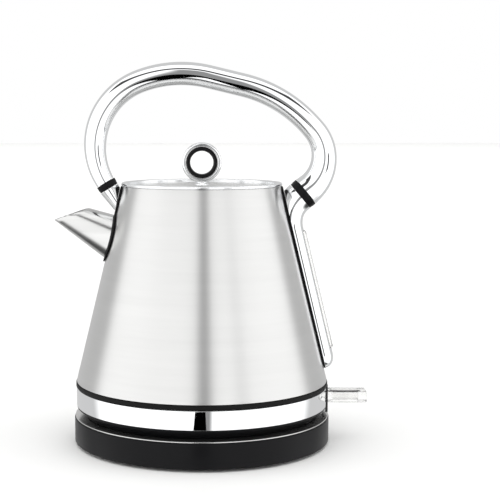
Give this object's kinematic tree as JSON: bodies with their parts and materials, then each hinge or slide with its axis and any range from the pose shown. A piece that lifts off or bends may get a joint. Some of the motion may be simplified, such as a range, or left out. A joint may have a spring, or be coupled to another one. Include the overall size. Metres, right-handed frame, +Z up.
{
  "type": "electric kettle",
  "caption": "Conical steel electric kettle with a hoop handle, beak spout, lift-off lid with a ring knob, level gauge and rocker switch, on a round swivel power base.",
  "frame": {"origin": "on the kettle's upright axis at the table, in the plane of the base's feet, under the middle of the hub on the base's underside", "axes": "+Z up along the axis that the kettle lifts and swivels about, spout towards -X, switch lever and level gauge towards +X, supply-cord gland towards +Y"},
  "size_m": [0.2191, 0.18, 0.2655],
  "materials": {
    "brushed_steel": "stainless sheet brushed round the body, satin",
    "polished_chrome": "polished chrome plate, mirror bright",
    "black_plastic": "moulded black plastic, fine satin grain",
    "black_rubber": "soft black rubber",
    "clear_plastic": "clear moulded plastic, glossy",
    "grey_silicone": "translucent grey silicone, matte",
    "cast_aluminium": "plain aluminium, dull",
    "contact_brass": "pressed brass strip",
    "screw_steel": "zinc-plated steel",
    "lamp_amber": "glossy neon lamp envelope"
  },
  "bodies": {
    "base": {"base_housing": "black_plastic", "base_trim_plate": "brushed_steel", "base_bottom_cover": "black_plastic", "cord_gland": "black_rubber", "base_foot_1": "black_rubber", "base_foot_2": "black_rubber", "base_foot_3": "black_rubber", "base_foot_4": "black_rubber", "base_screw_1": "screw_steel", "base_screw_2": "screw_steel", "base_screw_3": "screw_steel"},
    "connector": {"connector_tower": "black_plastic", "tower_live_contact": "contact_brass", "tower_neutral_contact": "contact_brass", "tower_earth_contact": "contact_brass"},
    "kettle": {"body_shell": "brushed_steel", "mouth_ring": "polished_chrome", "spout": "brushed_steel", "spout_saddle_seal": "black_rubber", "element_plate": "brushed_steel", "heat_diffuser": "cast_aluminium", "heating_element": "cast_aluminium", "control_housing": "black_plastic", "socket_live_pin": "contact_brass", "socket_neutral_ring": "contact_brass", "socket_earth_ring": "contact_brass", "bimetal_disc_1": "contact_brass", "bimetal_disc_2": "contact_brass", "steam_tube": "brushed_steel", "steam_bimetal": "contact_brass", "lever_pivot_pin": "screw_steel", "trip_pivot_pin": "screw_steel", "switch_bezel": "black_plastic", "indicator_lamp": "lamp_amber", "band_gasket": "black_rubber", "chrome_band": "polished_chrome", "underbody": "black_plastic", "underbody_screw_1": "screw_steel", "underbody_screw_2": "screw_steel", "underbody_screw_3": "screw_steel", "handle_tube": "polished_chrome", "front_collar": "black_plastic", "rear_collar": "black_plastic", "front_bracket": "polished_chrome", "rear_bracket": "polished_chrome", "rear_bracket_seal": "black_rubber", "water_gauge": "clear_plastic", "handle_screw_front": "screw_steel", "handle_screw_rear": "screw_steel"},
    "lid": {"lid_cap": "polished_chrome", "lid_plug": "brushed_steel", "lid_gasket": "grey_silicone", "lid_knob": "polished_chrome", "knob_insert": "black_plastic", "knob_screw": "screw_steel"},
    "switch_lever": {"switch_lever": "clear_plastic"},
    "trip_lever": {"trip_lever": "black_plastic"},
    "spout_filter": {"filter_frame": "black_plastic", "filter_mesh": "brushed_steel"}
  },
  "joints": [
    {"name": "base_swivel", "type": "hinge", "parent": "base", "child": "connector", "pos_m": [0, 0, 0.03], "axis": [0, 0, 1], "continuous": true},
    {"name": "kettle_lift", "type": "slide", "parent": "connector", "child": "kettle", "axis": [0, 0, 1], "range_m": [0, 0.054]},
    {"name": "lid_lift", "type": "slide", "parent": "kettle", "child": "lid", "axis": [0, 0, 1], "range_m": [0, 0.034]},
    {"name": "switch_tip", "type": "hinge", "parent": "kettle", "child": "switch_lever", "pos_m": [0.0805, 0, 0.03175], "axis": [0, 1, 0], "range_deg": [0, 8]},
    {"name": "trip_rock", "type": "hinge", "parent": "kettle", "child": "trip_lever", "pos_m": [0.033, 0, 0.03175], "axis": [0, 1, 0], "range_deg": [-2.2, 0]},
    {"name": "filter_slide", "type": "slide", "parent": "kettle", "child": "spout_filter", "axis": [-0.2354, 0, -0.9719], "range_m": [0, 0.008]}
  ],
  "couplings": [
    {"joint": "trip_rock", "follows": "switch_tip", "ratio": -0.25}
  ]
}
